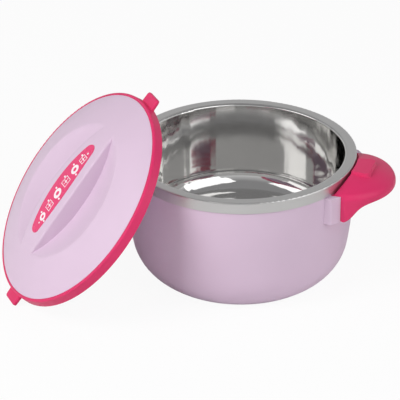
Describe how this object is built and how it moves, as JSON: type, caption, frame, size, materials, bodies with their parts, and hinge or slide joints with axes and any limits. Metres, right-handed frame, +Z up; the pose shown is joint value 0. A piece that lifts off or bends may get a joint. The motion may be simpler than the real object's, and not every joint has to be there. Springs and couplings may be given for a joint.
{
  "type": "insulated casserole",
  "caption": "Round insulated casserole with a pressed steel bowl, side handles and a domed lid with a bar grip, lifted off and leaned on a handle.",
  "frame": {"origin": "centre of the flat base, on the table", "axes": "+Z up, +X towards the handle that the lid does not lean on"},
  "size_m": [0.4023, 0.3204, 0.2045],
  "materials": {
    "lilac_plastic": "gloss",
    "pink_plastic": "gloss",
    "bowl_steel": "polished",
    "liner_plastic": "gloss",
    "foam": "matte"
  },
  "bodies": {
    "casserole": {"outer_shell": "lilac_plastic", "inner_bowl": "bowl_steel", "body_foam": "foam", "filling_plug": "lilac_plastic", "handle_right": "pink_plastic", "handle_left": "pink_plastic"},
    "lid": {"lid_cover": "lilac_plastic", "lid_inlay": "pink_plastic", "lid_ring": "pink_plastic", "lid_liner": "liner_plastic", "lid_foam": "foam"}
  },
  "joints": [
    {"name": "lid_lift", "type": "slide", "parent": "casserole", "child": "lid", "axis": [0, 0, 1], "range_m": [0, 0.15]}
  ]
}
